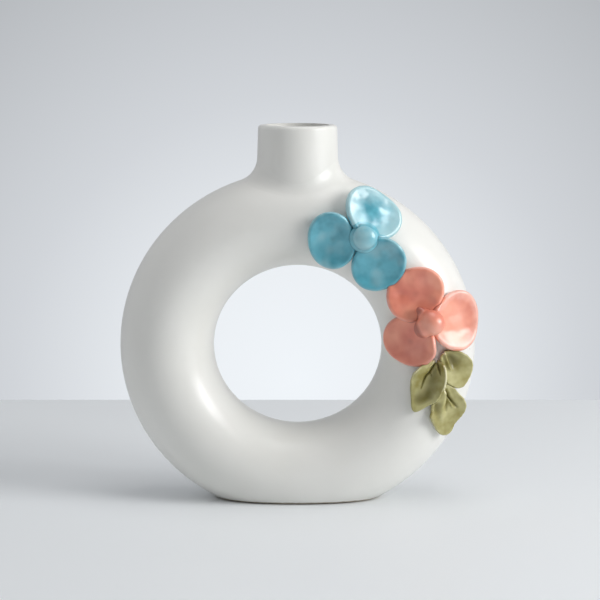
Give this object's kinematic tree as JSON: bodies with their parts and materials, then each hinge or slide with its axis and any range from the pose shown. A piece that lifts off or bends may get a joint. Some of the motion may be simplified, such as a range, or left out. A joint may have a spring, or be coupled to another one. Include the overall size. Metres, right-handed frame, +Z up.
{
  "type": "ring vase",
  "caption": "Free-standing glazed earthenware ring vase with a short round neck, flat foot, and applied clay flowers and leaves on one side.",
  "frame": {"origin": "middle of the flat foot, on the surface the vase stands on", "axes": "+Z up through the neck, the ring lies in the XZ plane, -Y is the front with the flowers, +X is the flowers' side"},
  "size_m": [0.1899, 0.0711, 0.2],
  "materials": {
    "white_glaze": "glossy off-white glaze over pale clay",
    "turquoise_glaze": "glossy mottled turquoise glaze, paler at the rims",
    "coral_glaze": "glossy coral glaze",
    "olive_glaze": "glossy olive glaze, paler on the ridges"
  },
  "bodies": {
    "root": {"vase_body": "white_glaze", "blue_petal_left": "turquoise_glaze", "blue_petal_top": "turquoise_glaze", "blue_petal_lower": "turquoise_glaze", "blue_flower_centre": "turquoise_glaze", "coral_petal_upper": "coral_glaze", "coral_petal_right": "coral_glaze", "coral_petal_lower": "coral_glaze", "coral_flower_centre": "coral_glaze", "leaf_left": "olive_glaze", "leaf_upper_right": "olive_glaze", "leaf_lower": "olive_glaze"}
  },
  "joints": []
}
